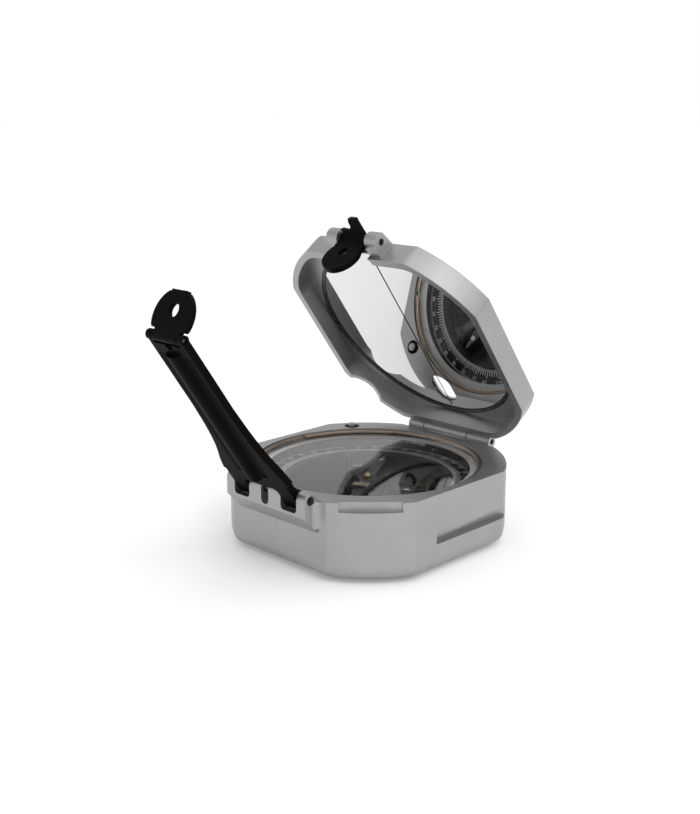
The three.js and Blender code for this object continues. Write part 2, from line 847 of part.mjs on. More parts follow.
function trayOutline() {
  return roundedSquare(TRAY_HALF, TRAY_CORNER_R, 3.0, 8).map(([x, y]) => [x, y - LID_MID]);
}

function windowOutline(grow) {
  const rx = WINDOW_HALF_WIDE + grow;
  const straight = WINDOW_HALF_LONG - WINDOW_HALF_WIDE;
  return [
    ...arc(0, -WINDOW_AT + straight, rx, 0, 180, 8),
    ...arc(0, -WINDOW_AT - straight, rx, 180, 360, 8),
  ];
}

function lidShell() {
  const place = ([x, y]) => [x, y - LID_MID];
  const sharp = sharpOutline.map(place);
  const shape = new THREE.Shape(sharp.map(([x, y]) => new THREE.Vector2(x, y)));
  const bevel = 0.6;
  const geometry = new THREE.ExtrudeGeometry(shape, {
    depth: LID_DEEP,
    bevelEnabled: true,
    bevelThickness: bevel,
    bevelSize: bevel,
    bevelOffset: -bevel,
    bevelSegments: 2,
  });
  geometry.translate(0, 0, -bevel);
  let shell = solid(geometry).intersect(prism(caseOutline.map(place), 0, 2 * LID_DEEP));

  // boss for the small sight, rounded about its pin
  const boss = prismX(
    [
      [-(LID_MID + HALF) + 1.0, 1.2],
      [-SMALL_AT, SMALL_DOWN - 2.6],
      ...arc(-SMALL_AT, SMALL_DOWN, 2.6, 270, 135, 8),
      [-(LID_MID + HALF) + 1.0, LID_DEEP],
    ],
    -BOSS_HALF,
    BOSS_HALF,
  );
  shell = shell.add(boss);

  // knuckle of the hinge
  const [x0, x1] = LID_KNUCKLES.lid;
  const leaf = box(x0, x1, -LID_NEAR - 1.2, 0, 0.25, LID_KNUCKLE_R - 0.1);
  const knuckle = rod(LID_KNUCKLE_R, x0, x1, 0, -LID_RIM, 18);

  // tray, mirror pocket and window
  const tray = prism(trayOutline(), -1, LID_FLOOR);
  const pocket = post(33.3, 1, MIRROR_POCKET, 0, -LID_MID, MANY);
  const window = prism(windowOutline(0), 0, LID_DEEP + 2);
  shell = shell.subtract(tray).subtract(pocket).subtract(window);

  // way in for the small sight's disc, and its place between the boss's lugs
  const discMiddle = -(SMALL_AT - SMALL_DISC_AT);
  const discWay = post(SMALL_DISC_R + 0.9, -3, 5.3, 0, discMiddle, 32).add(
    box(-BOSS_GAP_HALF, BOSS_GAP_HALF, -SMALL_AT, discMiddle, -3, 5.3),
  );
  const lugGap = box(
    -BOSS_GAP_HALF,
    BOSS_GAP_HALF,
    -(SMALL_AT + 5),
    -(SMALL_AT - SMALL_KNUCKLE_R - 0.7),
    -3,
    LID_DEEP + 3,
  );
  const pinBore = rod(1.0, -BOSS_HALF - 1, BOSS_HALF + 1, -SMALL_AT, SMALL_DOWN, FEW);
  shell = shell.subtract(discWay).subtract(lugGap).subtract(pinBore);

  // shallow arch in the rim over the lift pin, square to the corner
  const along = 8.5;
  const archX = -HALF + along / Math.SQRT2;
  const archY = -(LID_NEAR + CORNER_CUT) + along / Math.SQRT2;
  const archR = 9.0;
  const archDeep = 2.4;
  const arch = shifted(
    turnedZ(rod(archR, -6, 6, 0, 0, 40), -45 - 180),
    archX,
    archY,
    archDeep - archR,
  );
  shell = shell.subtract(arch);

  // the hinge goes on last, so that the tray doesn't cut it
  return shell
    .add(leaf)
    .add(knuckle)
    .subtract(rod(0.9, x0 - 1, x1 + 1, 0, -LID_RIM, FEW));
}
piece("lid_shell", "satin", openLid(lidShell()));

function mirrorGlass() {
  const glass = post(MIRROR_R, MIRROR_FACE, MIRROR_BACK, 0, -LID_MID, MANY);
  return glass.subtract(prism(windowOutline(0.1), MIRROR_FACE - 1, MIRROR_BACK + 1));
}
piece("mirror", "mirror", openLid(mirrorGlass()));
piece(
  "mirror_gasket",
  "rubber",
  openLid(shifted(ring(32.25, 33.0, 5.0, 6.2), 0, -LID_MID, 0)),
);
piece(
  "small_sight_pin",
  "steel",
  openLid(rod(0.7, -BOSS_HALF + 0.8, BOSS_HALF - 0.8, -SMALL_AT, SMALL_DOWN, 12)),
);

// ---------------------------------------------------------------- small sight

function smallSight() {
  // Drawn about its pin: the disc hangs along -Z, the blade points along -Y.
  const neck = 5.0;
  const thick = 1.6;
  const disc = rodY(SMALL_DISC_R, -thick / 2, thick / 2, 0, -SMALL_DISC_AT, 32);
  const lower = box(-10, 10, -2, 2, -30, -2.0);
  const stem = box(-neck, neck, -thick / 2, thick / 2, -4.0, 0);
  const knuckle = rod(SMALL_KNUCKLE_R, -neck, neck, 0, 0, 18);
  const blade = prism(
    [
      [-4.3, 0],
      [-3.6, -1.1],
      [-4.8, -2.9],
      [-1.2, -2.6],
      [-0.7, -4.0],
      [-1.2, -5.2],
      [-1.0, -6.3],
      [1.4, -6.3],
      [1.9, -5.1],
      [3.5, -2.2],
      [4.3, 0],
    ],
    -0.7,
    0.7,
  );
  const hole = rodY(1.6, -3, 3, 0, -5.8, 18);
  const bore = rod(1.0, -neck - 1, neck + 1, 0, 0, FEW);
  const sight = disc
    .intersect(lower)
    .add(stem)
    .add(knuckle)
    .add(turnedX(blade, -20))
    .subtract(hole)
    .subtract(bore);
  return shifted(sight, 0, -SMALL_AT, SMALL_DOWN);
}

piece("small_sight", "black", openLid(smallSight()));

// ---------------------------------------------------------------- sight arm

// Drawn lying level and pointing out along -Y, its outer face down.
function raiseArm(manifold) {
  return shifted(turnedX(manifold, -ARM_ANGLE), 0, ARM_Y, ARM_Z);
}

function armOutline() {
  const side = [
    [PRONG_OUT, 0],
    [PRONG_OUT, 6.3],
    [13.0, 6.6],
    [11.9, 10.4],
    [10.4, 13.7],
    [9.2, 17.0],
    [8.3, 21.0],
    [7.7, 25.0],
    [7.1, 32.0],
    [7.0, ARM_TIP],
  ];
  const arch = [
    ...arc(PRONG_IN - 1.5, 2.2, 1.5, 0, 90, 4),
    ...arc(-(PRONG_IN - 1.5), 2.2, 1.5, 90, 180, 4),
  ];
  return [
    [PRONG_IN, 0],
    ...side,
    ...side.map(([x, v]) => [-x, v]).reverse(),
    [-PRONG_IN, 0],
    ...arch.reverse(),
  ].map(([x, v]) => [x, -v]);
}

const TIP_Z = -ARM_THICK / 2;

function sightArm() {
  let arm = prism(armOutline(), -ARM_THICK, 0);
  for (const x0 of [PRONG_IN, -PRONG_OUT]) {
    const x1 = x0 + PRONG_OUT - PRONG_IN;
    arm = arm.add(rod(ARM_THICK, x0, x1, 0, 0, 20));
    arm = arm.add(box(x0, x1, -0.5, ARM_HEEL, -ARM_THICK, -0.2));
  }
  arm = arm.add(rod(TIP_KNUCKLE_R, -7.0, 7.0, -ARM_TIP, TIP_Z, 18));

  // raised rib down the middle of the outer face, between two hollows
  const rib = rodY(3.4, -51.5, -6.5, 0, -0.3, SOME).intersect(box(-4, 4, -52, -6, -5, -0.5));
  for (const side of [-1, 1]) {
    arm = arm.subtract(rodY(5.5, -51, -8, side * 4.6, -ARM_THICK - 5.1, SOME));
  }
  arm = arm.add(rib);

  // gap and pit for the peep sight, bores for the pins
  const gap = box(-TIP_GAP_HALF, TIP_GAP_HALF, -ARM_TIP - 4, -ARM_TIP + 1.75, -8, 8);
  const pit = post(1.3, -8, 8, 0, -ARM_TIP + 2.2, FEW);
  return arm
    .subtract(gap)
    .subtract(pit)
    .subtract(rod(1.3, -20, 20, 0, 0, FEW))
    .subtract(rod(0.8, -20, 20, -ARM_TIP, TIP_Z, FEW));
}
piece("sight_arm", "black", raiseArm(sightArm()));
piece("peep_sight_pin", "steel", raiseArm(rod(0.5, -6.6, 6.6, -ARM_TIP, TIP_Z, 10)));

// ---------------------------------------------------------------- peep sight

function peepSight() {
  const plate = prism(
    [
      [-5.0, 0],
      [5.0, 0],
      [5.0, 1.8],
      [PEEP_R - 0.9, 1.8],
      ...arc(0, PEEP_AT, PEEP_R, -18, 62, 10),
      [3.0, 11.3],
      [3.0, 11.9],
      [-3.0, 11.9],
      [-3.0, 11.3],
      ...arc(0, PEEP_AT, PEEP_R, 118, 198, 10),
      [-PEEP_R + 0.9, 1.8],
      [-5.0, 1.8],
    ].map(([x, v]) => [x, -v]),
    -PEEP_THICK / 2,
    PEEP_THICK / 2,
  );
  const knuckle = rod(TIP_KNUCKLE_R, -5.0, 5.0, 0, 0, 18);
  const hole = post(1.9, -3, 3, 0, -6.8, 16);
  const bore = rod(0.8, -8, 8, 0, 0, FEW);
  const sight = plate.add(knuckle).subtract(hole).subtract(bore);
  return shifted(turnedX(sight, -PEEP_FOLD), 0, -ARM_TIP, TIP_Z);
}
piece("peep_sight", "black", raiseArm(peepSight()));

export default compass;
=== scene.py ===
import json
import math

import bmesh
import bpy
from mathutils import Euler, Matrix, Vector


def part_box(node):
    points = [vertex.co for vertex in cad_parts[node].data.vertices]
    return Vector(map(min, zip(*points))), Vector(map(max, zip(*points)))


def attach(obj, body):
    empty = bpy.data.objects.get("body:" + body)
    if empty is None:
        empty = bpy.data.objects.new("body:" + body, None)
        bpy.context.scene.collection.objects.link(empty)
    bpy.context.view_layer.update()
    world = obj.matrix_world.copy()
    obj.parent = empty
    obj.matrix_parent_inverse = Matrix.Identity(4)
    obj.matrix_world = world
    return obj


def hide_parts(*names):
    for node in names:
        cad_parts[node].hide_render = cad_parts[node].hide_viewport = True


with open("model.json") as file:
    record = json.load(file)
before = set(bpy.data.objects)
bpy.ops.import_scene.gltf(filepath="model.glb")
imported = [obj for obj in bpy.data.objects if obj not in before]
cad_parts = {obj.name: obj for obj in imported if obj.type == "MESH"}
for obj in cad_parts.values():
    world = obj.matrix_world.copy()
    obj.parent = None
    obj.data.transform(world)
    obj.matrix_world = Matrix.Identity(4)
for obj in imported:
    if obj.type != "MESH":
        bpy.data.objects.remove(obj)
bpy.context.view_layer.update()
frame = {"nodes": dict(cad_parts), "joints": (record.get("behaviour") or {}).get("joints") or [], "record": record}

# Sighting compass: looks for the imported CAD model. Metres, +Z up, the origin is the
# centre of the underside; +Y runs from the sight arm's hinge to the lid's hinge.

MM = 0.001
BODY_OF = {
    node: body
    for body, nodes in frame["record"]["behaviour"]["bodies"].items()
    for node in nodes
}
JOINTS = {joint["name"]: joint for joint in frame["joints"]}


# ---------------------------------------------------------------- camera

CAMERA_AT = Vector((0.2262, -0.2359, 0.1237))
CAMERA_LOOKS_AT = Vector((0.0023, -0.0098, 0.0405))
CAMERA_LENS = 51.8  # for a sensor 36 mm along the picture's long side


def make_camera():
    data = bpy.data.cameras.new("camera")
    data.sensor_width = 36
    data.lens = CAMERA_LENS
    camera = bpy.data.objects.new("camera", data)
    bpy.context.scene.collection.objects.link(camera)
    camera.location = CAMERA_AT
    camera.rotation_mode = "QUATERNION"
    camera.rotation_quaternion = (CAMERA_LOOKS_AT - CAMERA_AT).to_track_quat("-Z", "Y")
    data.clip_start = 0.01
    bpy.context.scene.camera = camera


make_camera()


# ---------------------------------------------------------------- materials


class Look:
    """A material's node tree with the Principled shader at hand."""

    def __init__(self, name, **sockets):
        self.material = bpy.data.materials.new(name)
        self.material.use_nodes = True
        self.nodes = self.material.node_tree.nodes
        self.links = self.material.node_tree.links
        self.shader = self.nodes["Principled BSDF"]
        for socket, value in sockets.items():
            self.shader.inputs[socket.replace("_", " ")].default_value = value
        self.bumps = None

    def node(self, kind, **inputs):
        node = self.nodes.new(kind)
        for socket, value in inputs.items():
            node.inputs[socket.replace("_", " ")].default_value = value
        return node

    def link(self, output, target):
        self.links.new(output, target)

    def place(self, scale=(1, 1, 1)):
        """Object coordinates in metres, stretched by scale."""
        coordinates = self.node("ShaderNodeTexCoord")
        mapping = self.node("ShaderNodeMapping", Scale=scale)
        self.link(coordinates.outputs["Object"], mapping.inputs["Vector"])
        return mapping.outputs["Vector"]

    def noise(self, size, detail=4.0, roughness=0.6, stretch=(1, 1, 1)):
        """Noise whose features are about size metres across."""
        noise = self.node("ShaderNodeTexNoise", Scale=1 / size, Detail=detail, Roughness=roughness)
        self.link(self.place(stretch), noise.inputs["Vector"])
        return noise.outputs["Fac"]

    def spread(self, fac, low, high, from_min=0.3, from_max=0.7):
        """Maps a factor onto low..high."""
        ranged = self.node("ShaderNodeMapRange")
        ranged.inputs["From Min"].default_value = from_min
        ranged.inputs["From Max"].default_value = from_max
        ranged.inputs["To Min"].default_value = low
        ranged.inputs["To Max"].default_value = high
        self.link(fac, ranged.inputs["Value"])
        return ranged.outputs["Result"]

    def mix(self, fac, a, b):
        """Mixes two colours, each a tuple or an output."""
        mix = self.node("ShaderNodeMix")
        mix.data_type = "RGBA"
        self.link(fac, mix.inputs["Factor"])
        for socket, value in (("A", a), ("B", b)):
            target = [s for s in mix.inputs if s.name == socket and s.type == "RGBA"][0]
            if isinstance(value, tuple):
                target.default_value = value
            else:
                self.link(value, target)
        return [s for s in mix.outputs if s.type == "RGBA"][0]

    def colour(self, output):
        self.link(output, self.shader.inputs["Base Color"])

    def roughness(self, output):
        self.link(output, self.shader.inputs["Roughness"])

    def bump(self, height, strength, distance, soften=0.0):
        """Adds a bump; the edges are softened by a bevel of radius soften metres."""
        bump = self.node("ShaderNodeBump", Strength=strength, Distance=distance)
        self.link(height, bump.inputs["Height"])
        if self.bumps is not None:
            self.link(self.bumps, bump.inputs["Normal"])
        elif soften:
            bevel = self.node("ShaderNodeBevel", Radius=soften)
            bevel.samples = 4
            self.link(bevel.outputs["Normal"], bump.inputs["Normal"])
        self.bumps = bump.outputs["Normal"]
        self.link(self.bumps, self.shader.inputs["Normal"])

    def edge(self, radius):
        """1 on edges and 0 on flats, from the bevelled normal's departure."""
        bevel = self.node("ShaderNodeBevel", Radius=radius)
        bevel.samples = 4
        geometry = self.node("ShaderNodeNewGeometry")
        dot = self.node("ShaderNodeVectorMath")
        dot.operation = "DOT_PRODUCT"
        self.link(bevel.outputs["Normal"], dot.inputs[0])
        self.link(geometry.outputs["Normal"], dot.inputs[1])
        return self.spread(dot.outputs["Value"], 1.0, 0.0, 0.8, 0.995)


def grey(value, alpha=1.0):
    return (value, value, value, alpha)


def blasted_aluminium(name, tone, rough):
    """Bead-blasted aluminium under a satin clear anodising."""
    look = Look(name, Metallic=1.0)
    cloud = look.noise(0.012, detail=3.0)
    grain = look.noise(0.00022, detail=2.0, roughness=0.7)
    dark = tuple(c * 0.93 for c in tone) + (1.0,)
    light = tuple(min(1.0, c * 1.05) for c in tone) + (1.0,)
    body = look.mix(look.spread(cloud, 0.0, 1.0), dark, light)
    speckled = look.mix(look.spread(grain, 0.0, 0.7), body, light)
    worn = tuple(min(1.0, c * 1.18) for c in tone) + (1.0,)
    look.colour(look.mix(look.edge(0.00035), speckled, worn))
    look.roughness(look.spread(grain, rough - 0.05, rough + 0.07))
    look.bump(grain, 0.35, 0.00003, soften=0.00018)
    return look.material


def black_anodised(name, value, rough):
    """Black anodised metal with a fine satin grain and slightly worn edges."""
    look = Look(name, Metallic=0.0, Specular_IOR_Level=0.04)
    cloud = look.noise(0.006, detail=3.0)
    grain = look.noise(0.0002, detail=2.0)
    body = look.mix(look.spread(cloud, 0.0, 1.0), grey(value * 0.8), grey(value * 1.25))
    look.colour(look.mix(look.edge(0.00025), body, grey(value * 5)))
    look.roughness(look.spread(grain, rough - 0.06, rough + 0.08))
    look.bump(grain, 0.3, 0.00002, soften=0.00012)
    return look.material


def turned_metal(name, tone, rough):
    """Metal turned or drawn in one direction, with faint marks and tarnish."""
    look = Look(name, Metallic=1.0)
    marks = look.noise(0.0012, detail=5.0, stretch=(1, 1, 9))
    stain = look.noise(0.003, detail=3.0)
    dark = tuple(c * 0.78 for c in tone) + (1.0,)
    look.colour(look.mix(look.spread(stain, 0.0, 1.0), dark, tuple(tone) + (1.0,)))
    look.roughness(look.spread(marks, rough - 0.05, rough + 0.1))
    look.bump(marks, 0.15, 0.00002, soften=0.0001)
    return look.material


def matt_rubber(name, low, high, rough):
    """Moulded rubber whose grey wanders from low to high."""
    look = Look(name, Metallic=0.0, Specular_IOR_Level=0.5)
    grain = look.noise(0.0004, detail=3.0)
    look.colour(look.mix(look.spread(grain, 0.0, 1.0), grey(low), grey(high)))
    look.roughness(look.spread(grain, rough, rough + 0.2))
    look.bump(grain, 0.3, 0.00004)
    return look.material


def clear_glass(name, tint, ior):
    """Clear glass with a trace of haze."""
    look = Look(name, Metallic=0.0, IOR=ior, Transmission_Weight=1.0)
    haze = look.noise(0.01, detail=3.0)
    look.colour(look.mix(look.spread(haze, 0.0, 1.0), tint, grey(1.0)))
    look.roughness(look.spread(haze, 0.0, 0.01))
    return look.material


def silvered(name, value):
    """Front-silvered mirror with a trace of haze."""
    look = Look(name, Metallic=1.0)
    haze = look.noise(0.02, detail=4.0)
    look.colour(look.mix(look.spread(haze, 0.0, 1.0), grey(value), grey(value * 1.03)))
    look.roughness(look.spread(haze, 0.0, 0.015))
    return look.material


def enamel(name, low, high, rough, specular=0.5):
    """Printed or painted mark."""
    look = Look(name, Metallic=0.0, Specular_IOR_Level=specular)
    cloud = look.noise(0.0008, detail=3.0)
    look.colour(look.mix(look.spread(cloud, 0.0, 1.0), low, high))
    look.roughness(look.spread(cloud, rough, rough + 0.1))
    return look.material


ALUMINIUM = blasted_aluminium("satin_aluminium", (0.385, 0.385, 0.39), 0.46)
BASE = blasted_aluminium("base_plate", (0.34, 0.34, 0.345), 0.48)
BLACK = black_anodised("black_metal", 0.0018, 0.5)
STEEL = turned_metal("steel", (0.72, 0.72, 0.73), 0.22)
# Dark steel for the needle, clinometer plate and lift lever; the hinge pins take the same dark tone as painted
# shade, so that their ends read as shadowed pin holes.
DARK_STEEL_AND_HOLE_SHADE = turned_metal("dark_steel_and_hole_shade", (0.10, 0.10, 0.105), 0.35)
COPPER = turned_metal("copper", (0.50, 0.40, 0.33), 0.3)
BRASS = turned_metal("brass", (0.46, 0.37, 0.22), 0.32)
RUBBER = matt_rubber("rubber", 0.006, 0.02, 0.18)
PALE_RUBBER = matt_rubber("pale_rubber", 0.60, 0.68, 0.5)
CRYSTAL = clear_glass("crystal", grey(0.97), 1.25)  # below real glass, so that the inside reads dark
VIAL = clear_glass("vial_glass", (0.72, 0.86, 0.22, 1.0), 1.5)
MIRROR = silvered("mirror_glass", 0.76)
DIAL = enamel("dial", grey(0.006), grey(0.012), 0.45, 0.15)
WHITE_PAINT = enamel("white_paint", grey(0.72), grey(0.82), 0.4)
BLACK_PAINT = enamel("black_paint", grey(0.004), grey(0.008), 0.55, 0.12)


# ---------------------------------------------------------------- pieces from the frame

SHARP = math.radians(25)  # edges that turn more than this are bevelled
FLAT = math.radians(0.3)  # faces that turn less than this are merged
BEVEL_SEGMENTS = 2


def link(name, mesh, material):
    thing = bpy.data.objects.new(name, mesh)
    bpy.context.scene.collection.objects.link(thing)
    mesh.materials.clear()
    mesh.materials.append(material)
    return thing


def smooth(mesh):
    for face in mesh.polygons:
        face.use_smooth = True


def refined(node, material, width):
    """The node's shape with flats merged, edges rounded and curved faces smooth."""
    made = bmesh.new()
    made.from_mesh(frame["nodes"][node].data)
    bmesh.ops.remove_doubles(made, verts=made.verts, dist=1e-7)
    bmesh.ops.dissolve_limit(
        made,
        angle_limit=FLAT,
        verts=made.verts,
        edges=made.edges,
    )
    mesh = bpy.data.meshes.new(f"{node}_fine")
    made.to_mesh(mesh)
    made.free()
    smooth(mesh)
    thing = link(f"{node}_fine", mesh, material)
    if width:
        bevel = thing.modifiers.new("edges", "BEVEL")
        bevel.width = width
        bevel.segments = BEVEL_SEGMENTS
        bevel.limit_method = "ANGLE"
        bevel.angle_limit = SHARP
    weighted = thing.modifiers.new("normals", "WEIGHTED_NORMAL")
    weighted.keep_sharp = True
    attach(thing, BODY_OF[node])
    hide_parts(node)
    return thing


case = refined("case_body", ALUMINIUM, 0.25 * MM)
refined("lid_shell", ALUMINIUM, 0.25 * MM)
refined("bottom_plate", BASE, 0.2 * MM)
for number in range(1, 5):
    refined(f"bottom_plate_screw_{number}", STEEL, 0.08 * MM)
refined("sight_arm", BLACK, 0.18 * MM)
refined("peep_sight", BLACK, 0.15 * MM)
refined("small_sight", BLACK, 0.15 * MM)
# The pins' dark tone is painted shade: their ends stand in for the dark, shadowed pin holes.
for pin in ("arm_hinge_pin", "lid_hinge_pin", "peep_sight_pin", "small_sight_pin"):
    refined(pin, DARK_STEEL_AND_HOLE_SHADE, 0.08 * MM)
refined("crystal_seal", PALE_RUBBER, 0)
refined("crystal_glass", CRYSTAL, 0.1 * MM)
refined("graduated_circle", DIAL, 0)
refined("index_pin", BRASS, 0.08 * MM)
refined("declination_screw", BRASS, 0.1 * MM)
refined("compass_needle", DARK_STEEL_AND_HOLE_SHADE, 0.08 * MM)
refined("needle_cap", BRASS, 0.1 * MM)
refined("needle_counterweight", COPPER, 0.15 * MM)
refined("clinometer_shaft", BRASS, 0.05 * MM)
refined("clinometer_plate", DARK_STEEL_AND_HOLE_SHADE, 0.1 * MM)
refined("long_level_holder", BLACK_PAINT, 0.15 * MM)
refined("long_level_vial", VIAL, 0.3 * MM)
refined("round_level_cup", BLACK_PAINT, 0.15 * MM)
refined("round_level_vial", VIAL, 0.15 * MM)
refined("clinometer_lever", STEEL, 0.15 * MM)
refined("lift_pin", ALUMINIUM, 0.12 * MM)
refined("lift_pin_collar", BLACK, 0.08 * MM)
refined("needle_lift_lever", DARK_STEEL_AND_HOLE_SHADE, 0.1 * MM)
refined("lift_lever_pin", STEEL, 0.05 * MM)
refined("lift_lever_bracket", BLACK_PAINT, 0.15 * MM)
refined("mirror", MIRROR, 0)
refined("mirror_gasket", RUBBER, 0.1 * MM)


# ---------------------------------------------------------------- black bowl


def paint_bowl():
    """The bowl under the graduated circle is painted black."""
    glass_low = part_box("crystal_glass")[0].z
    circle_low, circle_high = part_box("graduated_circle")
    reach = circle_high.x + 0.5 * MM
    case.data.materials.append(BLACK_PAINT)
    for face in case.data.polygons:
        x, y, z = face.center
        inside = math.hypot(x, y) < reach and z < glass_low - MM
        if inside and face.normal.z > -0.5 and z > 2 * MM:
            face.material_index = 1


paint_bowl()


# ---------------------------------------------------------------- turned and marked pieces

ROUND = 160  # sides of a full circle


def lathe(name, profile, material, start=0.0, end=360.0):
    """Revolves a closed profile of (radius, z) pairs about Z from start to end degrees."""
    made = bmesh.new()
    full = abs(end - start - 360) < 1e-6
    rows = []
    for i in range(ROUND if full else ROUND + 1):
        a = math.radians(start + (end - start) * i / ROUND)
        rows.append([made.verts.new((r * math.cos(a), r * math.sin(a), z)) for r, z in profile])
    pairs = list(zip(rows, rows[1:] + (rows[:1] if full else [])))
    count = len(profile)
    for one, two in pairs:
        for k in range(count):
            n = (k + 1) % count
            made.faces.new((one[k], two[k], two[n], one[n]))
    if not full:
        made.faces.new(rows[0])
        made.faces.new(list(reversed(rows[-1])))
    bmesh.ops.recalc_face_normals(made, faces=made.faces)
    mesh = bpy.data.meshes.new(name)
    made.to_mesh(mesh)
    made.free()
    smooth(mesh)
    return link(name, mesh, material)


def round_edges(thing, width):
    """Takes the edge off a made piece."""
    bevel = thing.modifiers.new("edges", "BEVEL")
    bevel.width = width
    bevel.segments = BEVEL_SEGMENTS
    bevel.limit_method = "ANGLE"
    bevel.angle_limit = SHARP
    normals = thing.modifiers.new("normals", "WEIGHTED_NORMAL")
    normals.keep_sharp = True


SPLIT_BEARING = 172  # degrees from +X, the middle of the snap ring's split
SPLIT_HALF = 1.1


def snap_ring():
    """Split ring with a groove along its top, so that it reads as two turns of wire."""
    low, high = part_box("crystal_snap_ring")
    outer = high.x
    inner = outer - 1.0 * MM
    middle = (inner + outer) / 2
    ridge = 0.18 * MM
    groove = 0.14 * MM
    profile = [
        (inner, low.z),
        (inner, high.z - ridge),
        (inner + ridge, high.z),
        (middle - groove, high.z - ridge / 2),
        (middle - groove * 0.6, high.z - 3 * ridge),
        (middle + groove * 0.6, high.z - 3 * ridge),
        (middle + groove, high.z - ridge / 2),
        (outer - ridge, high.z),
        (outer, high.z - ridge),
        (outer, low.z),
    ]
    start = SPLIT_BEARING + SPLIT_HALF
    thing = lathe("snap_ring_fine", profile, COPPER, start, start + 360 - 2 * SPLIT_HALF)
    round_edges(thing, 0.04 * MM)
    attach(thing, "case")
    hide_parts("crystal_snap_ring")


snap_ring()


def mark(made, r0, r1, bearing, width, z):
    """A radial stroke, flat and facing up."""
    a = math.radians(bearing)
    along = Vector((math.cos(a), math.sin(a), 0))
    across = Vector((-math.sin(a), math.cos(a), 0)) * width / 2
    corners = [along * r0 - across, along * r1 - across, along * r1 + across, along * r0 + across]
    made.faces.new([made.verts.new(c + Vector((0, 0, z))) for c in corners])


DIVISION_LINE_R = 24.85 * MM
DIVISION_LINE_WIDE = 0.14 * MM
NUMERAL_R = 28.7 * MM
NUMERAL_HEIGHT = 1.7 * MM
PAINT_LIFT = 0.03 * MM  # the paint stands this far above the circle


def divisions():
    """White divisions of the circle, standing outward from a thin white line."""
    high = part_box("graduated_circle")[1]
    outer = high.x - 0.5 * MM
    z = high.z + PAINT_LIFT
    inner = DIVISION_LINE_R + 0.25 * MM
    made = bmesh.new()
    for degree in range(0, 360, 2):
        length = 2.4 if degree % 10 == 0 else 1.8
        mark(made, inner, inner + length * MM, degree, 0.26 * MM, z)
    for degree in range(1, 360, 2):
        mark(made, inner, inner + 0.7 * MM, degree, 0.12 * MM, z)
    for degree in range(360):
        mark(made, outer - 0.7 * MM, outer, degree, 0.16 * MM, z)
    mesh = bpy.data.meshes.new("circle_divisions")
    made.to_mesh(mesh)
    made.free()
    thing = link("circle_divisions", mesh, WHITE_PAINT)
    thicken = thing.modifiers.new("paint", "SOLIDIFY")
    thicken.thickness = 0.02 * MM
    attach(thing, "graduated_circle")
    line = lathe(
        "circle_line",
        [
            (DIVISION_LINE_R, z - 0.02 * MM),
            (DIVISION_LINE_R + DIVISION_LINE_WIDE, z - 0.02 * MM),
            (DIVISION_LINE_R + DIVISION_LINE_WIDE, z),
            (DIVISION_LINE_R, z),
        ],
        WHITE_PAINT,
    )
    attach(line, "graduated_circle")


divisions()


def number_mesh(text, height):
    """Flat outline numerals centred on the origin."""
    curve = bpy.data.curves.new("numeral", "FONT")
    curve.body = text
    curve.size = height
    curve.align_x = "CENTER"
    curve.align_y = "CENTER"
    curve.extrude = 0.01 * MM
    curve.resolution_u = 3
    holder = bpy.data.objects.new("numeral", curve)
    bpy.context.scene.collection.objects.link(holder)
    bpy.context.view_layer.update()
    graph = bpy.context.evaluated_depsgraph_get()
    mesh = bpy.data.meshes.new_from_object(holder.evaluated_get(graph))
    bpy.data.objects.remove(holder)
    bpy.data.curves.remove(curve)
    return mesh


def numerals():
    """Degree numbers at every tenth division, read from the centre."""
    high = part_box("graduated_circle")[1]
    joined = bmesh.new()
    for degree in range(0, 360, 10):
        mesh = number_mesh(str(degree), NUMERAL_HEIGHT)
        bearing = math.radians(90 + degree)
        place = Vector((math.cos(bearing), math.sin(bearing), 0)) * NUMERAL_R
        place.z = high.z + PAINT_LIFT
        turn = Matrix.Rotation(bearing - math.pi / 2, 4, "Z")
        mesh.transform(Matrix.Translation(place) @ turn)
        joined.from_mesh(mesh)
        bpy.data.meshes.remove(mesh)
    mesh = bpy.data.meshes.new("circle_numerals")
    joined.to_mesh(mesh)
    joined.free()
    thing = link("circle_numerals", mesh, WHITE_PAINT)
    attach(thing, "graduated_circle")


numerals()


# ---------------------------------------------------------------- lid details


def lid_frame():
    """Centre of the mirror's face, the direction to the lid's tip, and the way it faces."""
    mesh = frame["nodes"]["mirror"].data
    largest = max(mesh.polygons, key=lambda face: face.area)
    faces = Vector(largest.normal)
    if faces.z > 0:
        faces = -faces
    tip = faces.cross(Vector((1, 0, 0)))
    if tip.z < 0:
        tip = -tip
    low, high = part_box("mirror")
    middle = (low + high) / 2
    return middle, tip.normalized(), faces.normalized()


MIRROR_MIDDLE, TO_TIP, MIRROR_FACES = lid_frame()


BOX_FACES = ((0, 1, 2, 3), (4, 7, 6, 5), (0, 4, 5, 1), (1, 5, 6, 2), (2, 6, 7, 3), (3, 7, 4, 0))


def lid_box(name, x0, x1, t0, t1, n0, n1, material):
    """A bar on the mirror: x across, t towards the tip from the hinge, n out of the glass."""
    hinge = Vector(JOINTS["lid_hinge"]["pos_m"])
    reach = (MIRROR_MIDDLE - hinge).dot(TO_TIP)
    made = bmesh.new()
    corners = []
    for n in (n0, n1):
        for x, t in ((x0, t0), (x1, t0), (x1, t1), (x0, t1)):
            place = MIRROR_MIDDLE + TO_TIP * (t - reach) + MIRROR_FACES * n
            corners.append(made.verts.new((x, place.y, place.z)))
    for quad in BOX_FACES:
        made.faces.new([corners[i] for i in quad])
    bmesh.ops.recalc_face_normals(made, faces=made.faces)
    mesh = bpy.data.meshes.new(name)
    made.to_mesh(mesh)
    made.free()
    thing = link(name, mesh, material)
    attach(thing, "lid")
    return thing


